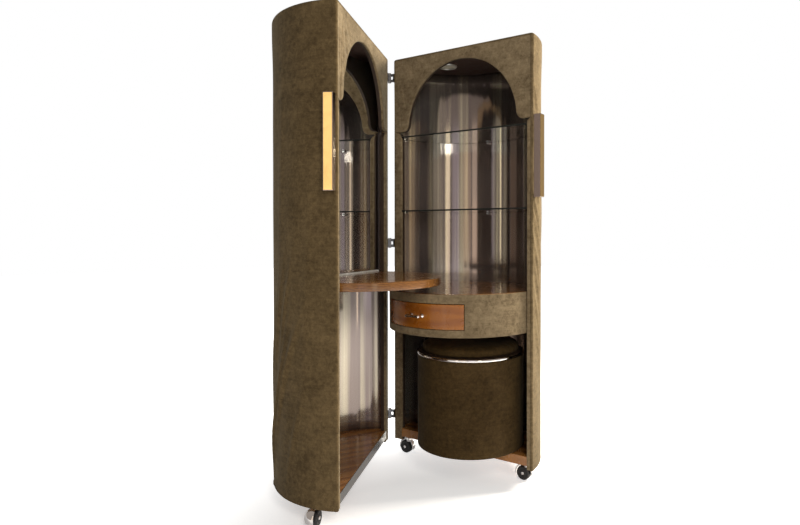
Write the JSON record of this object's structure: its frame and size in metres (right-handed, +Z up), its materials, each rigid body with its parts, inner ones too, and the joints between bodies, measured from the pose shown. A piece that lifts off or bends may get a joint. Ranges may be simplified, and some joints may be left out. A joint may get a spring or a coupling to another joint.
{
  "type": "hinged dressing cabinet",
  "caption": "Upright dressing cabinet in two hinged half-cylinders, open in a V, with a mirror, round table, bowed desk with drawer, glass shelves, drum stool and casters.",
  "frame": {"origin": "middle of the footprint of the whole cabinet at floor level, open as pictured", "axes": "+Z up; the right half's opening faces -Y and runs along +X from the hinge line; the left half stands turned 63.5 degrees forwards about the hinge line"},
  "size_m": [0.887, 0.9852, 1.685],
  "materials": {
    "suede_outer": "matt dark olive brown napped suede cloth",
    "suede_face": "matt napped suede cloth over thin padding",
    "plywood": "plain bent plywood, hidden under cloth and metal",
    "veneer": "glossy reddish brown veneer",
    "drawer_veneer": "glossy orange brown veneer",
    "board": "satin brown board",
    "polished_metal": "polished sheet metal with soft vertical streaks",
    "chrome": "polished",
    "gilt": "satin gilt face",
    "hinge_metal": "satin",
    "pin_metal": "plain",
    "clear_glass": "clear float glass with a polished edge",
    "mirror_glass": "silvered glass",
    "mirror_backing": "dark board behind the mirror",
    "trim_white": "pale satin trim",
    "lamp_white": "milky diffuser",
    "caster_plate": "black",
    "tread": "black rubber",
    "glide": "black felt-faced glide",
    "seat_cloth": "napped suede cloth over foam"
  },
  "bodies": {
    "right_half": {"right_shell_wall": "plywood", "right_top_board": "plywood", "right_lining": "polished_metal", "right_bottom_board": "board", "right_stiles": "board", "right_arch_panel": "board", "right_outer_cover": "suede_outer", "right_face_covers": "suede_face", "right_handle_bar": "chrome", "right_handle_inlay": "gilt", "right_hinge_leaves": "hinge_metal", "right_caster_plates": "caster_plate", "upper_glass_shelf": "clear_glass", "lower_glass_shelf": "clear_glass", "shelf_studs": "chrome", "ceiling_light_ring": "chrome", "ceiling_light_lens": "lamp_white", "desk_top": "veneer", "apron_frame": "plywood", "apron_cover": "suede_outer", "desk_supports": "board", "hinge_pins": "pin_metal"},
    "left_half": {"left_shell_wall": "plywood", "left_top_board": "plywood", "left_lining": "polished_metal", "left_bottom_board": "board", "left_stiles": "board", "left_arch_panel": "board", "left_outer_cover": "suede_outer", "left_face_covers": "suede_face", "left_handle_bar": "chrome", "left_handle_inlay": "gilt", "left_hinge_leaves": "hinge_metal", "left_caster_plates": "caster_plate", "table_top": "veneer", "table_cleat": "board", "mirror_glass": "mirror_glass", "mirror_board": "mirror_backing", "mirror_trim": "trim_white", "floor_edge_strip": "polished_metal"},
    "drawer": {"drawer_box": "board", "drawer_front": "drawer_veneer", "drawer_pull": "chrome"},
    "stool": {"stool_glides": "glide", "stool_base": "board", "stool_drum": "plywood", "stool_drum_cover": "suede_outer", "stool_seat_board": "board", "stool_band": "chrome", "stool_cushion": "seat_cloth"},
    "right_hinge_swivel": {"right_hinge_caster_hood": "chrome"},
    "right_hinge_roller": {"right_hinge_caster_wheel": "tread"},
    "right_outer_swivel": {"right_outer_caster_hood": "chrome"},
    "right_outer_roller": {"right_outer_caster_wheel": "tread"},
    "right_back_swivel": {"right_back_caster_hood": "chrome"},
    "right_back_roller": {"right_back_caster_wheel": "tread"},
    "left_outer_swivel": {"left_outer_caster_hood": "chrome"},
    "left_outer_roller": {"left_outer_caster_wheel": "tread"},
    "left_back_swivel": {"left_back_caster_hood": "chrome"},
    "left_back_roller": {"left_back_caster_wheel": "tread"}
  },
  "joints": [
    {"name": "left_half_hinge", "type": "hinge", "parent": "right_half", "child": "left_half", "pos_m": [-0.26853, 0.16063, 0.9], "axis": [0, 0, -1], "range_deg": [-63.5, 116.5]},
    {"name": "drawer_slide", "type": "slide", "parent": "right_half", "child": "drawer", "axis": [0, -1, 0], "range_m": [0, 0.3]},
    {"name": "stool_slide", "type": "slide", "parent": "right_half", "child": "stool", "axis": [0, -1, 0], "range_m": [0, 0.36]},
    {"name": "right_hinge_caster_swivel", "type": "hinge", "parent": "right_half", "child": "right_hinge_swivel", "pos_m": [-0.19353, 0.20263, 0.06], "axis": [0, 0, 1], "continuous": true},
    {"name": "right_hinge_wheel_spin", "type": "hinge", "parent": "right_hinge_swivel", "child": "right_hinge_roller", "pos_m": [-0.20953, 0.20263, 0.027], "axis": [0, 1, 0], "continuous": true},
    {"name": "right_outer_caster_swivel", "type": "hinge", "parent": "right_half", "child": "right_outer_swivel", "pos_m": [0.36147, 0.22563, 0.06], "axis": [0, 0, 1], "continuous": true},
    {"name": "right_outer_wheel_spin", "type": "hinge", "parent": "right_outer_swivel", "child": "right_outer_roller", "pos_m": [0.34547, 0.22563, 0.027], "axis": [0, 1, 0], "continuous": true},
    {"name": "right_back_caster_swivel", "type": "hinge", "parent": "right_half", "child": "right_back_swivel", "pos_m": [0.08347, 0.42563, 0.06], "axis": [0, 0, 1], "continuous": true},
    {"name": "right_back_wheel_spin", "type": "hinge", "parent": "right_back_swivel", "child": "right_back_roller", "pos_m": [0.09947, 0.42563, 0.027], "axis": [0, 1, 0], "continuous": true},
    {"name": "left_outer_caster_swivel", "type": "hinge", "parent": "left_half", "child": "left_outer_swivel", "pos_m": [-0.06529, -0.442, 0.06], "axis": [0, 0, 1], "continuous": true},
    {"name": "left_outer_wheel_spin", "type": "hinge", "parent": "left_outer_swivel", "child": "left_outer_roller", "pos_m": [-0.05815, -0.45632, 0.027], "axis": [0.8949, 0.4462, 0], "continuous": true},
    {"name": "left_back_caster_swivel", "type": "hinge", "parent": "left_half", "child": "left_back_swivel", "pos_m": [-0.34863, -0.27263, 0.06], "axis": [0, 0, 1], "continuous": true},
    {"name": "left_back_wheel_spin", "type": "hinge", "parent": "left_back_swivel", "child": "left_back_roller", "pos_m": [-0.34149, -0.28695, 0.027], "axis": [0.8949, 0.4462, 0], "continuous": true}
  ]
}
